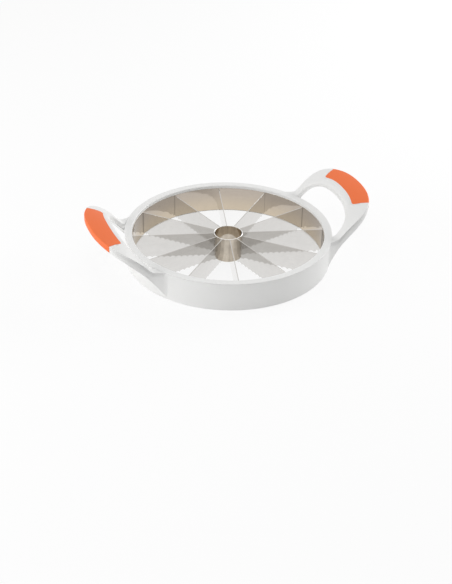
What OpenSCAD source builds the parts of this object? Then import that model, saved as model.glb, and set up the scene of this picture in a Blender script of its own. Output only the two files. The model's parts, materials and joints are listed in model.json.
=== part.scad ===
// Melon slicer: a round frame of two plastic shells with two raised loop handles,
// a steel band inside the ring, a core tube at the middle and twelve blades between them.
// The origin is on the ring's axis at its bottom face, X runs through both handles, Z is up.

/* [Ring] */
// Outer diameter of the ring at the rim
ring_d = 210; // [200:1:230]
// Height of the ring
ring_h = 30; // [28:0.5:36]
// Width of the flat rim
rim_w = 7.7; // [7.2:0.1:9]
// Thickness of the upper shell's outer edge, from its top down to the seam between the shells
edge_h = 0.6; // [0.5:0.1:0.8]
// Depth of the lip inside the rim, from the rim's top down to the band
lip_drop = 3.3; // [3:0.1:4]
// Step of the ring wall behind the rim at the seam
wall_step = 0.5; // [0.3:0.1:0.8]
// How much smaller the ring wall's radius is at the bottom than at the seam
wall_draft = 0.4; // [0:0.1:0.8]
// Radius of the rim's rounded inner edge
rim_round = 1; // [0.6:0.1:1.1]

/* [Blades] */
// Thickness of a blade
blade_t = 0.8; // [0.6:0.1:1.2]
// Height of the blades' lower edge above the ring's bottom face
blade_bottom = 2.5; // [2:0.5:4]
// Distance from the rim's top down to the blades' top edge
blade_drop = 3.6; // [3.4:0.1:5]
// Outer diameter of the core tube
core_d = 29.5; // [26:0.5:34]
// Wall of the core tube
core_wall = 1; // [0.8:0.1:1.5]
// Thickness of the band inside the ring
band_t = 0.8; // [0.6:0.1:1]
// Length of one wave of a blade's lower edge
wave_pitch = 3.6; // [3:0.1:6]
// Depth of the waves
wave_depth = 1; // [0.5:0.1:1.5]
// Height of the tab at a blade's outer end
tab_h = 12; // [8:1:14]
// Height of the ground bevel along a blade's lower edge
grind_h = 3; // [2:0.1:5]
// Thickness left at a blade's lower edge
edge_t = 0.2; // [0.1:0.05:0.4]
// Clearance on each side of a tab
tab_gap = 0.1; // [0.05:0.05:0.2]

/* [Handles] */
// How far a handle stands out from the ring
handle_out = 39.8; // [36:0.2:46]
// How far a handle rises above the rim
handle_rise = 31.3; // [28:0.1:34]
// Width of a handle
handle_w = 109.7; // [106:0.1:112]
// Width of the finger gap
gap_w = 92; // [88:1:93]
// How far the finger gap reaches out from the ring
gap_out = 13.5; // [12:0.5:16]
// Depth of the finger gap's wall at the middle of the handle
gap_wall = 5.3; // [4.5:0.1:6]
// Height of the handle at its outermost edge
tip_t = 6.3; // [6:0.1:7]

/* [Grips] */
// Width of a grip from end to end
grip_w = 81.5; // [70:0.5:84]
// Thickness of a grip
grip_t = 2; // [1.8:0.1:2.2]
// Width of the white strip between the finger gap and a grip
grip_margin = 6.5; // [5.5:0.1:8]
// Radius of a grip's corners beside that strip
grip_corner = 3; // [1:0.1:3.2]

/* [Hidden] */
$fn = 96;
blade_count = 12;
blade_step = 360 / blade_count;
function blade_name(i) = str("blade_", i < 10 ? "0" : "", i);

white = [0.93, 0.93, 0.92];
steel = [0.78, 0.77, 0.75];
orange = [0.95, 0.45, 0.26];

// Ring and steel parts
ring_r = ring_d / 2;
rim_r = ring_r - rim_w;
seam_z = ring_h - edge_h;
edge_round = 0.4;
flange_drop = 1.5;
flange_z = ring_h - flange_drop;
lap_in = 2;
lap_r = ring_r - lap_in;
lip_z = ring_h - lip_drop;
lip_w = 2.2;
lip_gap = 0.15;
wall_r = ring_r - wall_step;
foot_r = wall_r - wall_draft;
foot_round = 0.8;
seam_bevel = 0.5;
band_show = 0.3;
band_ri = rim_r - band_show;
band_ro = band_ri + band_t;
band_gap = 0.1;
blade_top = ring_h - blade_drop;
core_r = core_d / 2;
core_edge = core_wall / 2;
tab_z = (blade_bottom + blade_top - tab_h) / 2;
tab_in = 1.8;
tab_r = band_ro + tab_in;
wave_sides = 4;
plain_end = 9;
notch_w = 5;
notch_h = 1.4;

// Outlines of a handle in plan, seen from the ring's axis: u points out along the handle, v across it.
// Both are superellipses, and the legs flare into the ring.
handle_u = ring_r + handle_out;
out_n = 2.28;
out_a = 34;
out_b = handle_w / 2;
out_u = handle_u - out_a;
gap_n = 2.46;
gap_in = 7.6;
gap_a = gap_out + gap_in;
gap_b = gap_w / 2;
gap_u = ring_r - gap_in;
leg_in = 2;
leg_u = ring_r - leg_in;
flare_in = 9;
flare_u = ring_r - flare_in;
root_in = 0.8;
root_r = ring_r - root_in;
root_out = 4.4;
root_v = out_b + root_out;
root_gap_in = 5.7;
root_gap_r = ring_r - root_gap_in;

// The top of a handle is a dome, curved along u and across v. It starts in a soft valley by the rim.
crest_z = ring_h + handle_rise;
crest_in = 4.5;
crest_u = handle_u - crest_in;
dome_r_along = 33.8;
dome_r_across = 260;
valley_drop = 0.4;
valley_z = ring_h - valley_drop;
valley_soft = 1;

// The lower edge of a wing is a parabola from the handle's tip down to the ring's foot.
wing_slope = 0.4;
wing_r = 60.5;
wing_floor = 0.6;
wing_round = 0.8;
cove_in = 1.7;
cove_back = 3.2;
cove_drop = 1.2;

// Section of a handle
gap_round = 2.5;
grip_round = 1.5;
gap_lip = 1.5;
leg_wall = 3;
grip_bed = 1.6;
bed_edge = grip_t + grip_bed;
pocket_over = 2;
roll = [0, 30, 60, 90];

// Steps of the loft along half a handle
grip_steps = 8;
corner_turn = [0, 30, 60, 90];
corner_long = 1.3;
corner_steps = 2;
bend_steps = 9;
leg_steps = 3;
flare_steps = 6;

function mix(a, b, t) = a + (b - a) * t;
function power(x, n) = x <= 0 ? 0 : pow(x, n);
function unit(p) = p / norm(p);
function bezier(a, b, c, t) = a * (1 - t) * (1 - t) + b * 2 * t * (1 - t) + c * t * t;
function soft_max(a, b, k) = (a + b + sqrt((a - b) * (a - b) + 4 * k * k)) / 2;
function on_circle(r, v) = [sqrt(r * r - v * v), v];

// Heights over a plan point
function sag(x, r) = x * x / (2 * r);
function dome(p) = crest_z - sag(p[0] - crest_u, dome_r_along) - sag(p[1], dome_r_across);
function top_z(p) = soft_max(dome(p), valley_z, valley_soft);
function gap_depth(p) = gap_wall + leg_wall * pow(abs(p[1]) / gap_b, 8);
tip_z = top_z([handle_u, 0]) - tip_t;
function wing_z(p) =
    let (x = handle_u - p[0])
        max(wing_floor, tip_z - wing_slope * x - sag(x, wing_r));

// Points of both outlines by angle. Along a grip the gap's angle keeps pace with the outline's, and
// from there on both run evenly to the leg's end.
function outer(t) = [out_u + out_a * power(cos(t), 2 / out_n), out_b * power(sin(t), 2 / out_n)];
function gap_point(t) = [gap_u + gap_a * power(cos(t), 2 / gap_n), gap_b * power(sin(t), 2 / gap_n)];
gap_pace = 0.78;
grip_angle = asin(pow(grip_w / handle_w, out_n / 2));
leg_angle = acos(pow((leg_u - gap_u) / gap_a, gap_n / 2));
leg_span = bend_steps + leg_steps;
function grip_station(t, inset) = [gap_point(gap_pace * t), outer(t), inset];
function leg_station(i, p) = [gap_point(mix(gap_pace * grip_angle, leg_angle, i / leg_span)), p, 0];

// Stations of half a handle from the tip to the ring: gap point, outer point and how far the strip
// beside the grip is widened there, which rounds the grip's corners
grip_pace = grip_angle / (grip_steps - 1 + corner_steps);
grip_stations = [for (i = [0 : grip_steps - 1]) grip_station(grip_pace * i, 0)];
corner_room = norm(outer(grip_angle) - grip_stations[grip_steps - 1][1]);
corner_stations = [
    for (a = corner_turn)
        let (t = corner_long * grip_corner * (1 - sin(a)) / corner_room)
            grip_station(grip_angle - grip_pace * corner_steps * t, grip_corner * (1 - cos(a)))
];
bend_stations = [for (i = [1 : bend_steps]) leg_station(i, outer(mix(grip_angle, 90, i / bend_steps)))];
leg_stations = [
    for (i = [1 : leg_steps])
        leg_station(bend_steps + i, [mix(out_u, leg_u, i / leg_steps), out_b])
];
leg_end = leg_stations[leg_steps - 1];
flare_stations = [
    for (i = [1 : flare_steps])
        let (t = i / flare_steps)
            [
                mix(leg_end[0], on_circle(root_gap_r, gap_b), t),
                bezier(leg_end[1], [flare_u, out_b], on_circle(root_r, root_v), t),
                0
            ]
];
half = concat(grip_stations, corner_stations, bend_stations, leg_stations, flare_stations);
last = len(half) - 1;
function mirrored(s) = [[s[0][0], -s[0][1]], [s[1][0], -s[1][1]], s[2]];
stations = concat([for (i = [last : -1 : 1]) half[i]], [for (s = half) mirrored(s)]);
grip_last = grip_steps + len(corner_turn) - 1;
grip_span = [last - grip_last : last + grip_last];

// Points of one station's section: x runs from the gap to the outer edge, h is the height over the dome.
function width(s) = norm(s[1] - s[0]);
function plan(s, x) = s[0] + unit(s[1] - s[0]) * x;
function raised(p, z) = [p[0], p[1], z];
function over(s, x, h) = raised(plan(s, x), top_z(plan(s, x)) + h);
function gap_bottom(s, lip) = raised(s[0], top_z(s[0]) - gap_depth(s[0]) + lip);
function low(s, x, h) = raised(plan(s, x), wing_z(s[1]) + h);
function gap_edge(s) = [for (a = roll) over(s, gap_round * (1 - sin(a)), -gap_round * (1 - cos(a)))];
function outer_edge(s, r) = [for (a = roll) over(s, width(s) - r * (1 - cos(a)), -r * (1 - sin(a)))];
function bed_end(s) = width(s) - grip_t;
function cove_end(s) = width(s) - cove_in;
function strip_end(s) = min(grip_margin, width(s) / 2) + s[2];
function mid(s) = (strip_end(s) + bed_end(s)) / 2;

// Sections of the plate, wing, grip and the grip's pocket. Faces of two pieces that meet run through
// the same points in the same order, so they are split alike.
function plate_section(s) = concat(
    [gap_bottom(s, gap_lip), over(s, bed_end(s), -bed_edge)],
    [over(s, bed_end(s), -edge_h), over(s, cove_end(s), -edge_h), over(s, width(s), -edge_h)],
    outer_edge(s, edge_round),
    [over(s, mid(s), 0), over(s, strip_end(s), 0)],
    gap_edge(s)
);
function wing_section(s) = [
    gap_bottom(s, gap_lip),
    over(s, bed_end(s), -bed_edge),
    over(s, bed_end(s), -edge_h),
    over(s, cove_end(s), -edge_h),
    over(s, cove_end(s), -cove_back),
    over(s, width(s), -bed_edge - cove_drop),
    low(s, width(s), wing_round),
    low(s, width(s) - wing_round, 0),
    gap_bottom(s, 0)
];
function grip_section(s) = concat(
    [over(s, bed_end(s), -grip_t), over(s, strip_end(s), -grip_t)],
    [over(s, strip_end(s), 0), over(s, mid(s), 0)],
    [for (i = [len(roll) - 1 : -1 : 0]) outer_edge(s, grip_round)[i]],
    [low(s, width(s), wing_round), low(s, width(s) - wing_round, 0), low(s, bed_end(s), 0)]
);
function pocket_section(s) = [
    over(s, bed_end(s), -grip_t),
    over(s, strip_end(s), -grip_t),
    over(s, strip_end(s), pocket_over),
    over(s, width(s) + pocket_over, pocket_over),
    low(s, width(s) + pocket_over, -pocket_over),
    low(s, bed_end(s), -pocket_over)
];

// A solid through a row of sections. cap is the section's point that sees all the others.
module loft(sections, cap, flip) {
    n = len(sections);
    k = len(sections[0]);
    sides = [
        for (i = [0 : n - 2], j = [0 : k - 1])
            let (a = i * k + j, b = i * k + (j + 1) % k)
                each [[a, a + k, b + k], [a, b + k, b]]
    ];
    fan = [for (j = [1 : k - 2]) [cap, (cap + j) % k, (cap + j + 1) % k]];
    end = (n - 1) * k;
    caps = [for (f = fan) each [f, [f[0] + end, f[2] + end, f[1] + end]]];
    faces = concat(sides, caps);
    points = [for (section = sections) each section];
    polyhedron(points, flip ? [for (f = faces) [f[0], f[2], f[1]]] : faces);
}

module both_handles() {
    for (turn = [0, 180])
        rotate([0, 0, turn])
            children();
}

module at_blades() {
    for (i = [1 : blade_count])
        at_blade(i)
            children();
}

module at_blade(i) {
    rotate([0, 0, (i - 0.5) * blade_step])
        children();
}

// A box along X between two radii, centred on Y, used for tabs, slots and pockets
module radial_box(r1, r2, t, z, h) {
    translate([r1, -t / 2, z])
        cube([r2 - r1, t, h]);
}

module tab_room(r1, r2) {
    radial_box(r1, r2, blade_t + 2 * tab_gap, tab_z - tab_gap, tab_h + 2 * tab_gap);
}

module rim() {
    outer_c = [ring_r - edge_round, ring_h - edge_round];
    inner_c = [rim_r + rim_round, ring_h - rim_round];
    rotate_extrude()
        polygon(concat(
            [[rim_r, lip_z], [rim_r + lip_w, lip_z], [rim_r + lip_w, flange_z]],
            [[lap_r, flange_z], [lap_r, seam_z], [ring_r, seam_z]],
            [for (a = roll) outer_c + edge_round * [cos(a), sin(a)]],
            [for (a = roll) inner_c + rim_round * [-sin(a), cos(a)]]
        ));
}

module grip_pocket() {
    loft([for (i = grip_span) pocket_section(stations[i])], 0, true);
}

module handle_plate() {
    difference() {
        loft([for (s = stations) plate_section(s)], 2, false);
        cylinder(r = ring_r, h = seam_z);
        grip_pocket();
    }
}

module upper_shell() {
    color(white) {
        rim();
        both_handles()
            handle_plate();
    }
}

module ring_wall() {
    foot = [for (a = roll) [foot_r - foot_round * (1 - sin(a)), foot_round * (1 - cos(a))]];
    seat_r = band_ro + band_gap;
    step_r = lap_r + lip_gap;
    rotate_extrude()
        polygon(concat(
            foot,
            [[wall_r, seam_z - seam_bevel], [wall_r - seam_bevel, seam_z], [step_r, seam_z]],
            [[step_r, flange_z], [seat_r, flange_z]],
            [[seat_r, blade_bottom], [band_ri, blade_bottom], [band_ri, 0]]
        ));
}

module handle_wing() {
    difference() {
        loft([for (s = stations) wing_section(s)], 1, true);
        translate([0, 0, seam_z])
            cylinder(r = ring_r, h = ring_h);
        grip_pocket();
    }
}

module lower_shell() {
    rebate_r = rim_r + lip_w + lip_gap;
    color(white)
        difference() {
            union() {
                ring_wall();
                both_handles()
                    handle_wing();
            }
            translate([0, 0, flange_z])
                cylinder(r = lap_r + lip_gap, h = ring_h);
            translate([0, 0, lip_z])
                cylinder(r = rebate_r, h = ring_h);
            at_blades()
                tab_room(band_ri + band_t / 2, tab_r + tab_gap);
        }
}

module blade_band() {
    color(steel)
        difference() {
            rotate_extrude()
                translate([band_ri, blade_bottom])
                    square([band_t, lip_z - blade_bottom]);
            at_blades()
                tab_room(band_ri - band_t, band_ro + band_t);
        }
}

module core_tube() {
    core_in = core_r - core_wall;
    color(steel)
        rotate_extrude()
            polygon([
                [core_in + core_edge, blade_bottom],
                [core_r, blade_bottom],
                [core_r, blade_top],
                [core_in, blade_top],
                [core_in, blade_bottom + 2 * core_edge]
            ]);
}

// A blade's section across its thickness, with the ground bevel at the lower edge
module blade_section() {
    apex_z = blade_bottom - grind_h * edge_t / (blade_t - edge_t);
    grind_z = blade_bottom + grind_h;
    polygon([
        [0, apex_z],
        [blade_t / 2, grind_z],
        [blade_t / 2, ring_h],
        [-blade_t / 2, ring_h],
        [-blade_t / 2, grind_z]
    ]);
}

// A blade in the XZ plane: waves from the tube outwards, a plain stretch, and a notch beside the band
module blade_outline() {
    waves = floor((band_ri - plain_end - core_r) / wave_pitch);
    wave_start = band_ri - plain_end - waves * wave_pitch;
    tooth = notch_w / 2;
    polygon(concat(
        [[core_r - core_wall / 2, blade_bottom]],
        [
            for (i = [0 : waves - 1], k = [0 : wave_sides - 1])
                [
                    wave_start + (i + k / wave_sides) * wave_pitch,
                    blade_bottom + wave_depth * sin(180 * k / wave_sides)
                ]
        ],
        [[band_ri - plain_end, blade_bottom], [band_ri - notch_w, blade_bottom]],
        [[band_ri - 0.9 * notch_w, blade_bottom + notch_h], [band_ri - 1.2 * tooth, blade_bottom + notch_h]],
        [[band_ri - tooth, blade_bottom], [band_ri - 0.8 * tooth, blade_bottom + notch_h]],
        [[band_ri + band_t, blade_bottom + notch_h], [band_ri + band_t, blade_top]],
        [[core_r - core_wall / 2, blade_top]]
    ));
}

module blade(i) {
    color(steel)
        at_blade(i) {
            difference() {
                intersection() {
                    rotate([90, 0, 0])
                        linear_extrude(2 * blade_t, center = true)
                            blade_outline();
                    rotate([90, 0, 90])
                        linear_extrude(ring_r)
                            blade_section();
                    cylinder(r = band_ri, h = ring_h);
                }
                cylinder(r = core_r, h = ring_h);
            }
            radial_box(band_ri - band_t, tab_r, blade_t, tab_z, tab_h);
        }
}

module grip() {
    color(orange)
        loft([for (i = grip_span) grip_section(stations[i])], 0, true);
}

module right_grip() {
    grip();
}

module left_grip() {
    rotate([0, 0, 180])
        grip();
}

upper_shell();
lower_shell();
blade_band();
core_tube();
for (i = [1 : blade_count])
    blade(i);
right_grip();
left_grip();
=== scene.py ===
import json
import math

import bmesh
import bpy
from mathutils import Matrix, Vector

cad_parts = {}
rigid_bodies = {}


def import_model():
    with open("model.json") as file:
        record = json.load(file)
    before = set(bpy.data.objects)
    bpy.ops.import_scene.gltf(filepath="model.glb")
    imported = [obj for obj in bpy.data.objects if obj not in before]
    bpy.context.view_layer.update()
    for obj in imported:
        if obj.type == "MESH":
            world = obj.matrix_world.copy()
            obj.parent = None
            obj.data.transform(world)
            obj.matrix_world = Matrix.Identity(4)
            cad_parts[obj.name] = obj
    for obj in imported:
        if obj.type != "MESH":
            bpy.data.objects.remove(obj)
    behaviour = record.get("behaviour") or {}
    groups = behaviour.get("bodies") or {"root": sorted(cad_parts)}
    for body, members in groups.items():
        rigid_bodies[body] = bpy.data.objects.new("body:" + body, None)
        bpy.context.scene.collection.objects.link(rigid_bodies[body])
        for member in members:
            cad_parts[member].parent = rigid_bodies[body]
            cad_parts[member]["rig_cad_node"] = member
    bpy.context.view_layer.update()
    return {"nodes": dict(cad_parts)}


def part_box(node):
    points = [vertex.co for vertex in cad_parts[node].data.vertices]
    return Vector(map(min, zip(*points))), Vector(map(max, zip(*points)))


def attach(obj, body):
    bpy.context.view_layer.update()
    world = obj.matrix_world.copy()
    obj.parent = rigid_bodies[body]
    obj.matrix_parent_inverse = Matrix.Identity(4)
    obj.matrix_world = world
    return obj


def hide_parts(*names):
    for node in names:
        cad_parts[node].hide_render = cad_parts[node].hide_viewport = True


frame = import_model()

MM = 0.001

# Picking by place and by normal
SAME_PLACE = 0.01 * MM
FACING = 0.9

# The white shells and the soft grips, which are finished copies of the solids
MERGE = 0.002 * MM
MOULDED_ANGLE = 35

# The groove's back wall at a grip's end and at the next station, and the way out to the handle's side
GROOVE_START = Vector((134.22, 39.93)) * MM
GROOVE_START_OUT = Vector((1.49, 0.82)) * MM
GROOVE_NEXT = Vector((132.27, 42.73)) * MM
GROOVE_NEXT_OUT = Vector((0.57, 0.36)) * MM
GROOVE_LINE = 0.05 * MM

# The round steel pieces: sizes that their boxes don't give
STEEL_FOOT = 0.5 * MM
SHEET = 0.8 * MM
TUBE_WALL = 1.0 * MM
TUBE_LIP = 0.3 * MM
BAND_BREAK = 0.15 * MM
ROUND_SIDES = 160
STEEL_ANGLE = 40

# A blade: its ground edge, its waves and notches, and the tab that holds it
BLADES = ["blade_%02d" % number for number in range(1, 13)]
GRIND = 3.0 * MM
EDGE_SHARE = 0.25
BACK_BREAK = 0.1 * MM
WAVE = 5.9 * MM
WAVE_DEPTH = 1.6 * MM
WAVE_SIDES = 40
PLAIN_END = 7.8 * MM
NOTCH = 6.0 * MM
NOTCH_DEPTH = 1.8 * MM
NOTCH_TAPER = 0.6
CORNER_TAPER = 0.8
CUTTER_WIDTH = 4.0 * MM
TAB_HEIGHT = 12.0 * MM
TAB_PLAY = 0.05 * MM

# Finishes: how fine each noise is, where most of it lies, how it is shared out, and the depth of the relief
SLOW_DRIFT = 28.0
CLOUD = 60.0
MOTTLE = 170.0
NOISE_MEAN = 0.5
NOISE_LOW = 0.35
NOISE_HIGH = 0.65
GRAIN_SHARE = 0.35
STREAK_SHARE = 0.6
STREAK_RELIEF = 0.02
MOULDED_RELIEF = 0.05 * MM
STEEL_RELIEF = 0.02 * MM
STEEL_BUMP = 0.15
# A blade's dim end line: partly a weld tint, partly painted shade.
END_LINE_WIDTH = 0.2 * MM
# The tone along a sheet's upper edge: painted highlight on the tube, painted shade on the band.
EDGE_TONE_START = 0.12 * MM
EDGE_TONE_FULL = 0.05 * MM

# Floor, light and camera
FLOOR_SIZE = 12.0
FLOOR_COLOR = (0.92, 0.92, 0.92, 1)
FLOOR_GLOW = 0.85
AMBIENT = 0.54
SIDE_LAMP = (1.0, 0.7)
TOP_LAMP = (1.4, 1.2)
CAMERA_PLACE = Vector((-373.397, -935.369, 595.291)) * MM
CAMERA_AIM = Vector((-27.075, -65.601, 0)) * MM
CAMERA_ROLL = math.radians(1.35)
CAMERA_LENS = 70.2
CAMERA_SENSOR = 36
CAMERA_NEAR = 10.0 * MM


# Working by hand: selection, edit mode and modifiers

def select_none():
    bpy.ops.object.select_all(action="DESELECT")


def only(piece):
    """Selects one piece and makes it active."""
    select_none()
    piece.select_set(True)
    bpy.context.view_layer.objects.active = piece


def rename(piece, name):
    piece.name = name
    piece.data.name = name


def named(name):
    """Names the piece just added and settles its size and place in its mesh."""
    piece = bpy.context.object
    rename(piece, name)
    only(piece)
    bpy.ops.object.transform_apply(location=True, rotation=True, scale=True)
    return piece


def copy_of(piece, name):
    """A copy of a piece, with its own mesh."""
    only(piece)
    bpy.ops.object.duplicate()
    copy = bpy.context.object
    rename(copy, name)
    return copy


def edit(piece):
    only(piece)
    bpy.ops.object.mode_set(mode="EDIT")


def done():
    bpy.ops.object.mode_set(mode="OBJECT")


def pick(kind, test):
    """In edit mode, selects the vertices, edges or faces that pass a test by place or normal."""
    bpy.ops.mesh.select_mode(type=kind)
    bpy.ops.mesh.select_all(action="DESELECT")
    body = bmesh.from_edit_mesh(bpy.context.object.data)
    for item in {"VERT": body.verts, "EDGE": body.edges, "FACE": body.faces}[kind]:
        if test(item):
            item.select_set(True)
    bmesh.update_edit_mesh(bpy.context.object.data)


def near(a, b):
    return abs(a - b) < SAME_PLACE


def level_edge(edge, z):
    """True for an edge that lies at height z."""
    return all(near(vert.co.z, z) for vert in edge.verts)


def radius(vert):
    """A vertex's distance from the ring's axis."""
    return math.hypot(vert.co.x, vert.co.y)


def cut_across(z):
    """In edit mode, cuts the whole piece at height z without taking anything away."""
    bpy.ops.mesh.select_all(action="SELECT")
    bpy.ops.mesh.bisect(plane_co=(0, 0, z), plane_no=(0, 0, 1))


def modify(piece, kind, **values):
    """Adds a modifier and applies it."""
    only(piece)
    step = piece.modifiers.new(kind.lower(), kind)
    for key, value in values.items():
        setattr(step, key, value)
    bpy.ops.object.modifier_apply(modifier=step.name)


def cut_with(piece, cutter):
    """Takes a cutter's shape out of a piece and throws the cutter away."""
    modify(piece, "BOOLEAN", object=cutter, operation="DIFFERENCE", solver="EXACT", use_self=True)
    bpy.data.objects.remove(cutter)


def smooth(piece, degrees):
    """Shades a piece smooth, apart from the edges that turn by more than an angle."""
    only(piece)
    bpy.ops.object.shade_smooth_by_angle(angle=math.radians(degrees))
    modify(piece, "WEIGHTED_NORMAL", weight=60, keep_sharp=True)


def finish_piece(piece, finish, node):
    """Gives a piece its finish and puts it in the place of its node."""
    piece.data.materials.clear()
    piece.data.materials.append(finish)
    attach(piece, "root")
    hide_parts(node)


# Moulded pieces

def cad_copy(node, name):
    """A copy of a CAD node with its triangles joined, to be finished by hand."""
    piece = copy_of(frame["nodes"][node], name)
    del piece["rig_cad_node"]
    edit(piece)
    bpy.ops.mesh.select_all(action="SELECT")
    bpy.ops.mesh.remove_doubles(threshold=MERGE)
    done()
    return piece


def lower_seat(shell):
    """Lets the band's seat in the lower shell down to the foot of the steel."""
    low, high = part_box("blade_band")
    edit(shell)
    pick("VERT", lambda v: near(v.co.z, low.z) and radius(v) < high.x + SHEET)
    bpy.ops.transform.translate(value=(0, 0, STEEL_FOOT - low.z))
    done()


def groove_ends(shell):
    """Lets the groove under the handles' thin edges start from nothing at the ends of the grips."""
    edit(shell)
    for x, y in ((1, 1), (1, -1), (-1, 1), (-1, -1)):
        side = Vector((x, y))
        for place, out in ((GROOVE_START, GROOVE_START_OUT), (GROOVE_NEXT, GROOVE_NEXT_OUT)):
            pick("VERT", lambda v: (v.co.xy - place * side).length < GROOVE_LINE)
            bpy.ops.transform.translate(value=(*(out * side), 0))
    done()


# Steel pieces

def sleeve(node, name, wall):
    """A round steel sleeve at a node's place, open at both ends, with its wall inside the node's radius."""
    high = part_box(node)[1]
    select_none()
    bpy.ops.mesh.primitive_cylinder_add(
        vertices=ROUND_SIDES, radius=high.x, depth=high.z - STEEL_FOOT, end_fill_type="NOTHING",
        location=(0, 0, (STEEL_FOOT + high.z) / 2))
    piece = named(name)
    modify(piece, "SOLIDIFY", thickness=wall, offset=-1, use_even_offset=True)
    return piece, high.z, high.x


def steel_tube():
    """The core tube: a rolled lip on top and an edge ground from inside at the bottom."""
    tube, lip, outside = sleeve("core_tube", "steel_tube", TUBE_WALL)
    middle = outside - TUBE_WALL / 2
    grow = middle / (outside - TUBE_WALL)
    edit(tube)
    cut_across(STEEL_FOOT + TUBE_WALL)
    pick("VERT", lambda v: near(v.co.z, STEEL_FOOT) and radius(v) < middle)
    bpy.ops.transform.resize(value=(grow, grow, 1), center_override=(0, 0, STEEL_FOOT))
    pick("EDGE", lambda e: level_edge(e, lip))
    bpy.ops.mesh.bevel(offset=TUBE_LIP, segments=3, affect="EDGES")
    done()
    smooth(tube, STEEL_ANGLE)
    return tube


def steel_band():
    """The band that lines the ring: sheet steel with both its edges broken."""
    band, lip, _ = sleeve("blade_band", "steel_band", SHEET)
    edit(band)
    pick("EDGE", lambda e: level_edge(e, lip) or level_edge(e, STEEL_FOOT))
    bpy.ops.mesh.bevel(offset=BAND_BREAK, segments=2, affect="EDGES")
    done()
    smooth(band, STEEL_ANGLE)
    return band


def notch_cutter(x0, x1, taper):
    """A cutter for a notch in a blade's lower edge, narrower at the top by taper."""
    middle = (x0 + x1) / 2
    select_none()
    bpy.ops.mesh.primitive_cube_add(
        size=1, location=(middle, 0, STEEL_FOOT), scale=(x1 - x0, CUTTER_WIDTH, 2 * NOTCH_DEPTH))
    cutter = named("notch_cutter")
    edit(cutter)
    pick("FACE", lambda f: f.normal.z > FACING)
    bpy.ops.transform.resize(value=(taper, 1, 1), center_override=(middle, 0, STEEL_FOOT + NOTCH_DEPTH))
    done()
    return cutter


def wave_cutter(start, count):
    """A row of bars whose tops cut the waves of a blade's lower edge."""
    bar = (WAVE * WAVE / 4 + WAVE_DEPTH * WAVE_DEPTH) / (2 * WAVE_DEPTH)
    select_none()
    bpy.ops.mesh.primitive_cylinder_add(
        vertices=WAVE_SIDES, radius=bar, depth=CUTTER_WIDTH, rotation=(math.pi / 2, 0, 0),
        location=(start + WAVE / 2, 0, STEEL_FOOT + WAVE_DEPTH - bar))
    cutter = named("wave_cutter")
    modify(cutter, "ARRAY", count=count, use_relative_offset=False, use_constant_offset=True,
           constant_offset_displace=(WAVE, 0, 0))
    return cutter


def first_blade(top, inner, outer, tab_low, tab_end):
    """One blade along +X, from the tube to the band, with its tab, ground edge, waves and notches."""
    select_none()
    bpy.ops.mesh.primitive_cube_add(
        size=1, location=((inner + outer) / 2, 0, (STEEL_FOOT + top) / 2),
        scale=(outer - inner, SHEET, top - STEEL_FOOT))
    blade = named("steel_blade_01")
    tab_high = tab_low + TAB_HEIGHT
    edit(blade)
    for z in (STEEL_FOOT + GRIND, tab_low, tab_high):
        cut_across(z)
    pick("VERT", lambda v: near(v.co.z, STEEL_FOOT))
    bpy.ops.transform.resize(value=(1, EDGE_SHARE, 1), center_override=(0, 0, STEEL_FOOT))
    pick("FACE", lambda f: f.normal.x > FACING and tab_low < f.calc_center_median().z < tab_high)
    bpy.ops.mesh.extrude_region_move(TRANSFORM_OT_translate={"value": (tab_end - outer, 0, 0)})
    pick("EDGE", lambda e: level_edge(e, top) and abs(e.verts[0].co.x - e.verts[1].co.x) > NOTCH)
    bpy.ops.mesh.bevel(offset=BACK_BREAK, segments=2, affect="EDGES")
    done()
    count = int((outer - PLAIN_END - inner) / WAVE)
    cut_with(blade, wave_cutter(outer - PLAIN_END - count * WAVE, count))
    cut_with(blade, notch_cutter(outer - NOTCH, outer - NOTCH / 2, NOTCH_TAPER))
    cut_with(blade, notch_cutter(outer - NOTCH / 2, outer + NOTCH / 2, CORNER_TAPER))
    return blade


def steel_blades():
    """Twelve blades, each with its own mesh: one is modelled along +X, and all are turned to half steps."""
    tube_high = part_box("core_tube")[1]
    band_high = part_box("blade_band")[1]
    low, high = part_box(BLADES[0])
    reach = math.hypot(high.x, max(abs(low.y), abs(high.y)))
    tab_low = (low.z + high.z - TAB_HEIGHT) / 2
    blade = first_blade(high.z, tube_high.x, band_high.x - SHEET, tab_low, reach - TAB_PLAY)
    blades = [blade]
    for number in range(2, len(BLADES) + 1):
        blades.append(copy_of(blade, "steel_blade_%02d" % number))
    step = 2 * math.pi / len(BLADES)
    for number, piece in enumerate(blades):
        only(piece)
        piece.rotation_euler.z = (number + 0.5) * step
        bpy.ops.object.transform_apply(location=False, rotation=True, scale=False)
    return blades


# Finishes: nodes

def feed(tree, socket, value):
    """Links an input to an output, or sets it to a plain value."""
    if isinstance(value, bpy.types.NodeSocket):
        tree.links.new(value, socket)
    else:
        socket.default_value = value


def put(tree, kind, values=(), **settings):
    """Adds a node with its settings and feeds its inputs."""
    node = tree.nodes.new(kind)
    for key, value in settings.items():
        setattr(node, key, value)
    for key, value in dict(values).items():
        feed(tree, node.inputs[key], value)
    return node


def maths(tree, operation, *values):
    return put(tree, "ShaderNodeMath", dict(enumerate(values)), operation=operation).outputs[0]


def noise(tree, vector, scale, detail=2.0, roughness=0.5):
    node = put(tree, "ShaderNodeTexNoise",
               {"Vector": vector, "Scale": scale, "Detail": detail, "Roughness": roughness})
    return node.outputs["Fac"]


def scaled(tree, vector, share):
    """A colour or a direction times a share."""
    return put(tree, "ShaderNodeVectorMath", {0: vector, "Scale": share}, operation="SCALE").outputs[0]


def mixed(tree, share, first, second):
    """A colour that turns from the first to the second as share goes from 0 to 1."""
    return put(tree, "ShaderNodeMix", {0: share, 6: first, 7: second}, data_type="RGBA").outputs[2]


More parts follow.
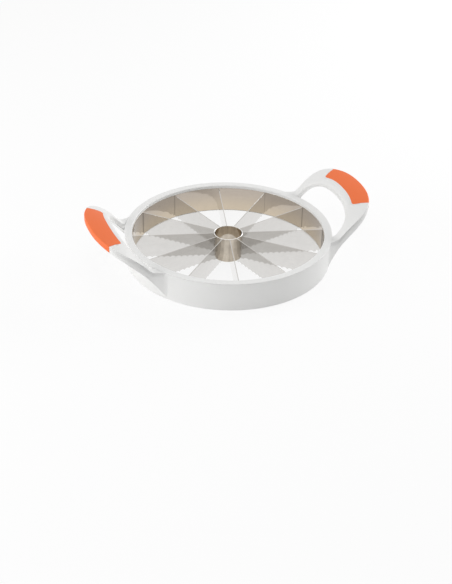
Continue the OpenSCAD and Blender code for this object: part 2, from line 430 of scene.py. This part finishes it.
def ranged(tree, value, low, high, first=0.0, last=1.0, **settings):
    """A number that goes from first to last as value goes from low to high."""
    node = put(tree, "ShaderNodeMapRange", {
        "Value": value, "From Min": low, "From Max": high, "To Min": first, "To Max": last}, **settings)
    return node.outputs[0]


# Finishes: shared groups

SURFACE = [("Color", "Color"), ("Roughness", "Float"), ("Height", "Float")]
TONE = [("Color", "Color")]


def start_group(name, inputs, outputs):
    """An empty shader group with named inputs and outputs."""
    tree = bpy.data.node_groups.new(name, "ShaderNodeTree")
    for title, kind, value in inputs:
        socket = tree.interface.new_socket(title, in_out="INPUT", socket_type="NodeSocket" + kind)
        if value is not None:
            socket.default_value = value
    for title, kind in outputs:
        tree.interface.new_socket(title, in_out="OUTPUT", socket_type="NodeSocket" + kind)
    return tree, put(tree, "NodeGroupInput").outputs, put(tree, "NodeGroupOutput").inputs


def moulded_skin():
    """Group: fine grain of a moulded surface, and a slow drift of its colour and gloss."""
    tree, given, out = start_group("moulded_skin", [
        ("Vector", "Vector", None), ("Color", "Color", (0.8, 0.8, 0.8, 1)), ("Grain Scale", "Float", 2500.0),
        ("Drift", "Float", 0.02), ("Gloss Low", "Float", 0.3), ("Gloss High", "Float", 0.4)], SURFACE)
    slow = noise(tree, given["Vector"], SLOW_DRIFT, 3.0)
    fine = noise(tree, given["Vector"], given["Grain Scale"], 2.0, 0.6)
    shade = maths(tree, "MULTIPLY_ADD", maths(tree, "SUBTRACT", slow, NOISE_MEAN), given["Drift"], 1.0)
    rest = maths(tree, "MULTIPLY", slow, 1 - GRAIN_SHARE)
    patchy = maths(tree, "MULTIPLY_ADD", fine, GRAIN_SHARE, rest)
    gloss = ranged(tree, patchy, NOISE_LOW, NOISE_HIGH, given["Gloss Low"], given["Gloss High"])
    feed(tree, out["Color"], scaled(tree, given["Color"], shade))
    feed(tree, out["Roughness"], gloss)
    feed(tree, out["Height"], fine)
    return tree


def round_place():
    """Group: a point's distance from the ring's axis, its direction round it, and its height."""
    tree, given, out = start_group("round_place", [("Vector", "Vector", None)], [
        ("Radius", "Float"), ("Direction", "Vector"), ("Height", "Float")])
    parts = put(tree, "ShaderNodeSeparateXYZ", {"Vector": given["Vector"]}).outputs
    flat = put(tree, "ShaderNodeCombineXYZ", {"X": parts["X"], "Y": parts["Y"]}).outputs[0]
    length = put(tree, "ShaderNodeVectorMath", {0: flat}, operation="LENGTH")
    way = put(tree, "ShaderNodeVectorMath", {0: flat}, operation="NORMALIZE")
    feed(tree, out["Radius"], length.outputs["Value"])
    feed(tree, out["Direction"], way.outputs[0])
    feed(tree, out["Height"], parts["Z"])
    return tree


def streaks_and_painted_bands():
    """Group: polished sheet steel, with streaks along its rolling and slow unevenness; with a high drift, as
    on the tube, the streaks turn into strong bands that are partly drawing lines and partly painted
    reflection.
    """
    tree, given, out = start_group("streaks_and_painted_bands", [
        ("Streak Place", "Vector", None), ("Sheet Place", "Vector", None),
        ("Color", "Color", (0.66, 0.63, 0.6, 1)), ("Drift", "Float", 0.12),
        ("Gloss Low", "Float", 0.04), ("Gloss High", "Float", 0.11)], SURFACE)
    streak = noise(tree, given["Streak Place"], 1.0, 3.0, 0.6)
    cloud = noise(tree, given["Sheet Place"], CLOUD, 2.0)
    mottle = maths(tree, "ADD", streak, noise(tree, given["Sheet Place"], MOTTLE, 4.0, 0.6))
    shade = maths(tree, "MULTIPLY_ADD", maths(tree, "SUBTRACT", mottle, 2 * NOISE_MEAN), given["Drift"], 1.0)
    rest = maths(tree, "MULTIPLY", cloud, 1 - STREAK_SHARE)
    uneven = maths(tree, "MULTIPLY_ADD", streak, STREAK_SHARE, rest)
    gloss = ranged(tree, uneven, NOISE_LOW, NOISE_HIGH, given["Gloss Low"], given["Gloss High"])
    feed(tree, out["Color"], scaled(tree, given["Color"], shade))
    feed(tree, out["Roughness"], gloss)
    feed(tree, out["Height"], maths(tree, "MULTIPLY_ADD", streak, STREAK_RELIEF, cloud))
    return tree


def joint_line_and_shade():
    """Group: a colour dimmed in a narrow line where a blade meets the band, partly a weld tint at the joint
    and partly painted shade of the gap beside the blade.
    """
    tree, given, out = start_group("joint_line_and_shade", [
        ("Radius", "Float", 0.0), ("Color", "Color", (0.8, 0.8, 0.8, 1)), ("Start", "Float", 0.0962),
        ("Left", "Float", 0.62)], TONE)
    full = maths(tree, "ADD", given["Start"], END_LINE_WIDTH)
    share = ranged(tree, given["Radius"], given["Start"], full, 1.0, given["Left"])
    feed(tree, out["Color"], scaled(tree, given["Color"], share))
    return tree


def painted_reflection_fade():
    """Group: a painted reflection, a colour low on a piece that turns to another towards its top."""
    tree, given, out = start_group("painted_reflection_fade", [
        ("Height", "Float", 0.0), ("Foot", "Float", 0.0), ("Top", "Float", 0.03),
        ("Low Color", "Color", (0.6, 0.5, 0.4, 1)), ("High Color", "Color", (0.4, 0.35, 0.3, 1))], TONE)
    rise = ranged(tree, given["Height"], given["Foot"], given["Top"], interpolation_type="SMOOTHSTEP")
    feed(tree, out["Color"], mixed(tree, rise, given["Low Color"], given["High Color"]))
    return tree


def edge_highlight_and_shade():
    """Group: a colour painted along the upper edge of a sheet: a painted highlight on the tube's lip,
    painted shade on the band's top under the rim, a darker tone on the blades' tops.
    """
    tree, given, out = start_group("edge_highlight_and_shade", [
        ("Height", "Float", 0.0), ("Edge", "Float", 0.0264), ("Color", "Color", (0.7, 0.7, 0.7, 1)),
        ("Edge Color", "Color", (0.86, 0.85, 0.83, 1))], TONE)
    start = maths(tree, "SUBTRACT", given["Edge"], EDGE_TONE_START)
    full = maths(tree, "SUBTRACT", given["Edge"], EDGE_TONE_FULL)
    mask = ranged(tree, given["Height"], start, full)
    feed(tree, out["Color"], mixed(tree, mask, given["Color"], given["Edge Color"]))
    return tree


SKIN = moulded_skin()
ROUND = round_place()
STREAKS_AND_PAINTED_BANDS = streaks_and_painted_bands()
JOINT_LINE_AND_SHADE = joint_line_and_shade()
EDGE_HIGHLIGHT_AND_SHADE = edge_highlight_and_shade()
PAINTED_REFLECTION_FADE = painted_reflection_fade()


# Finishes: the materials

def new_finish(name, constants):
    """A material, its nodes, and its shader with the values that are the same all over."""
    finish = bpy.data.materials.new(name)
    finish.use_nodes = True
    tree = finish.node_tree
    shader = tree.nodes["Principled BSDF"]
    for key, value in constants.items():
        shader.inputs[key].default_value = value
    return finish, tree, shader


def wire(tree, shader, group, strength, distance):
    """Feeds a group's colour, roughness and height to the shader."""
    bump = put(tree, "ShaderNodeBump", {
        "Height": group.outputs["Height"], "Strength": strength, "Distance": distance})
    feed(tree, shader.inputs["Base Color"], group.outputs["Color"])
    feed(tree, shader.inputs["Roughness"], group.outputs["Roughness"])
    feed(tree, shader.inputs["Normal"], bump.outputs[0])


def moulded_finish(name, color, grain, drift, gloss, bump, constants):
    """A moulded surface: its colour, the fineness of its grain, and its lowest and highest roughness."""
    finish, tree, shader = new_finish(name, constants)
    place = put(tree, "ShaderNodeTexCoord").outputs["Object"]
    skin = put(tree, "ShaderNodeGroup", {
        "Vector": place, "Color": color, "Grain Scale": grain, "Drift": drift,
        "Gloss Low": gloss[0], "Gloss High": gloss[1]}, node_tree=SKIN)
    wire(tree, shader, skin, bump, MOULDED_RELIEF)
    return finish


def steel_finish(name, node, low_color, high_color, painted_edge_color, streaks, drift, ends=False):
    """Polished steel, with a painted reflection from a low to a high colour up the piece, a painted tone
    along its upper edge and, on a blade, a dim end line that is partly a weld tint and partly painted shade.

    streaks gives how fast the streaks change round the ring's axis, out from it and upwards.
    """
    finish, tree, shader = new_finish(name, {"Metallic": 1.0})
    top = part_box(node)[1].z
    around, outward, upward = streaks
    place = put(tree, "ShaderNodeTexCoord").outputs["Object"]
    polar = put(tree, "ShaderNodeGroup", {"Vector": place}, node_tree=ROUND).outputs
    way = scaled(tree, polar["Direction"], around)
    lift = put(tree, "ShaderNodeCombineXYZ", {
        "X": maths(tree, "MULTIPLY", polar["Radius"], outward),
        "Z": maths(tree, "MULTIPLY", polar["Height"], upward)}).outputs[0]
    streak_place = put(tree, "ShaderNodeVectorMath", {0: way, 1: lift}, operation="ADD").outputs[0]
    # Painted reflection: the colour turns from the low to the high one up the piece.
    tone = put(tree, "ShaderNodeGroup", {
        "Height": polar["Height"], "Foot": STEEL_FOOT, "Top": top,
        "Low Color": low_color, "High Color": high_color}, node_tree=PAINTED_REFLECTION_FADE).outputs["Color"]
    # Dim line at the blade's end: partly a weld tint, partly painted shade of the gap beside it.
    if ends:
        tone = put(tree, "ShaderNodeGroup", {
            "Radius": polar["Radius"], "Color": tone}, node_tree=JOINT_LINE_AND_SHADE).outputs["Color"]
    # Upper edge: painted highlight on the tube's lip, painted shade on the band's top, a darker tone on a
    # blade.
    tone = put(tree, "ShaderNodeGroup", {
        "Height": polar["Height"], "Edge": top, "Color": tone,
        "Edge Color": painted_edge_color}, node_tree=EDGE_HIGHLIGHT_AND_SHADE).outputs["Color"]
    look = put(tree, "ShaderNodeGroup", {
        "Streak Place": streak_place, "Sheet Place": place, "Color": tone,
        "Drift": drift}, node_tree=STREAKS_AND_PAINTED_BANDS)
    wire(tree, shader, look, STEEL_BUMP, STEEL_RELIEF)
    return finish


plastic = moulded_finish(
    "white_plastic", color=(0.8, 0.8, 0.79, 1), grain=2500.0, drift=0.02, gloss=(0.3, 0.42), bump=0.15,
    constants={"IOR": 1.49})
rubber = moulded_finish(
    "orange_grip", color=(0.86, 0.185, 0.06, 1), grain=1600.0, drift=0.05, gloss=(0.55, 0.7), bump=0.4,
    constants={"IOR": 1.45, "Specular IOR Level": 0.3})
# The blades: a slight painted reflection, darker towards the top, and a darker tone along the top edge.
blade_steel = steel_finish(
    "blade_steel", BLADES[0], low_color=(0.7, 0.688, 0.67, 1), high_color=(0.68, 0.667, 0.648, 1),
    painted_edge_color=(0.58, 0.56, 0.535, 1), streaks=(40.0, 30.0, 1600.0), drift=0.12, ends=True)
# The band: its warm, dark tone, darker towards its top, is a painted reflection, and its darker top edge is
# painted shade under the rim.
band_steel = steel_finish(
    "band_steel", "blade_band", low_color=(0.59, 0.505, 0.395, 1), high_color=(0.475, 0.42, 0.365, 1),
    painted_edge_color=(0.45, 0.4, 0.35, 1), streaks=(3.0, 0.0, 1600.0), drift=0.12)
# The tube: strong bands round its axis, partly drawing lines and partly painted reflection, and a painted
# highlight along its top edge.
tube_steel = steel_finish(
    "tube_steel", "core_tube", low_color=(0.54, 0.48, 0.4, 1), high_color=(0.48, 0.43, 0.365, 1),
    painted_edge_color=(0.9, 0.89, 0.87, 1), streaks=(3.0, 0.0, 12.0), drift=0.7)


# The object

for node, name in (("upper_shell", "upper_moulding"), ("lower_shell", "lower_moulding")):
    shell = cad_copy(node, name)
    if node == "lower_shell":
        lower_seat(shell)
        groove_ends(shell)
    smooth(shell, MOULDED_ANGLE)
    finish_piece(shell, plastic, node)
for node, name in (("right_grip", "right_soft_grip"), ("left_grip", "left_soft_grip")):
    grip = cad_copy(node, name)
    smooth(grip, MOULDED_ANGLE)
    finish_piece(grip, rubber, node)
finish_piece(steel_tube(), tube_steel, "core_tube")
finish_piece(steel_band(), band_steel, "blade_band")
for blade, node in zip(steel_blades(), BLADES):
    finish_piece(blade, blade_steel, node)


# Floor, light and camera

def shown_to_eye(tree, share=1.0):
    """share for camera rays, 1 for rays from a mirror surface, 0 for light that falls on the object."""
    path = put(tree, "ShaderNodeLightPath").outputs
    total = maths(tree, "MULTIPLY", path["Is Camera Ray"], share)
    for ray in ("Is Glossy Ray", "Is Transmission Ray"):
        total = maths(tree, "MAXIMUM", total, path[ray])
    return total


def pale_floor():
    """A wide matte floor that keeps the object's shadow and is near white to the eye."""
    select_none()
    bpy.ops.mesh.primitive_plane_add(size=FLOOR_SIZE)
    floor = bpy.context.object
    floor.name = "floor"
    finish = bpy.data.materials.new("pale_floor")
    finish.use_nodes = True
    tree = finish.node_tree
    tree.nodes.remove(tree.nodes["Principled BSDF"])
    matte = put(tree, "ShaderNodeBsdfDiffuse", {"Color": FLOOR_COLOR}).outputs[0]
    glow = put(tree, "ShaderNodeEmission").outputs[0]
    share = shown_to_eye(tree, FLOOR_GLOW)
    blend = put(tree, "ShaderNodeMixShader", {0: share, 1: matte, 2: glow})
    feed(tree, tree.nodes["Material Output"].inputs["Surface"], blend.outputs[0])
    floor.data.materials.append(finish)


def studio_world():
    """White all round to the eye and in mirror surfaces, and softer as light on the object."""
    world = bpy.data.worlds.new("studio")
    bpy.context.scene.world = world
    world.use_nodes = True
    tree = world.node_tree
    sky = tree.nodes["Background"]
    sky.inputs["Color"].default_value = (1, 1, 1, 1)
    feed(tree, sky.inputs["Strength"], ranged(tree, shown_to_eye(tree), 0.0, 1.0, AMBIENT, 1.0))


def softbox(name, place, size, power):
    """A rectangular lamp that faces the middle of the ring."""
    lamp = bpy.data.lights.new(name, "AREA")
    lamp.shape = "RECTANGLE"
    lamp.size, lamp.size_y = size
    lamp.energy = power
    holder = bpy.data.objects.new(name, lamp)
    bpy.context.scene.collection.objects.link(holder)
    holder.location = place
    holder.rotation_euler = (-Vector(place)).to_track_quat("-Z", "Y").to_euler()


def photo_camera():
    """The camera at the photograph's angle, with its slight roll."""
    ahead = (CAMERA_AIM - CAMERA_PLACE).normalized()
    level = ahead.cross(Vector((0, 0, 1))).normalized()
    upright = level.cross(ahead)
    across = level * math.cos(CAMERA_ROLL) + upright * math.sin(CAMERA_ROLL)
    above = upright * math.cos(CAMERA_ROLL) - level * math.sin(CAMERA_ROLL)
    view = bpy.data.cameras.new("photo_view")
    view.sensor_width = CAMERA_SENSOR
    view.lens = CAMERA_LENS
    view.clip_start = CAMERA_NEAR
    holder = bpy.data.objects.new("photo_view", view)
    bpy.context.scene.collection.objects.link(holder)
    turn = Matrix((across, above, -ahead)).transposed().to_4x4()
    holder.matrix_world = Matrix.Translation(CAMERA_PLACE) @ turn
    bpy.context.scene.camera = holder


pale_floor()
studio_world()
softbox("overhead", place=(-0.3, -0.2, 1.3), size=TOP_LAMP, power=3.1)
softbox("left_side", place=(-1.2, 0.1, 0.4), size=SIDE_LAMP, power=7.5)
softbox("right_side", place=(1.08, 0.28, 0.4), size=SIDE_LAMP, power=8.5)
photo_camera()
bpy.context.scene.view_settings.view_transform = "Standard"
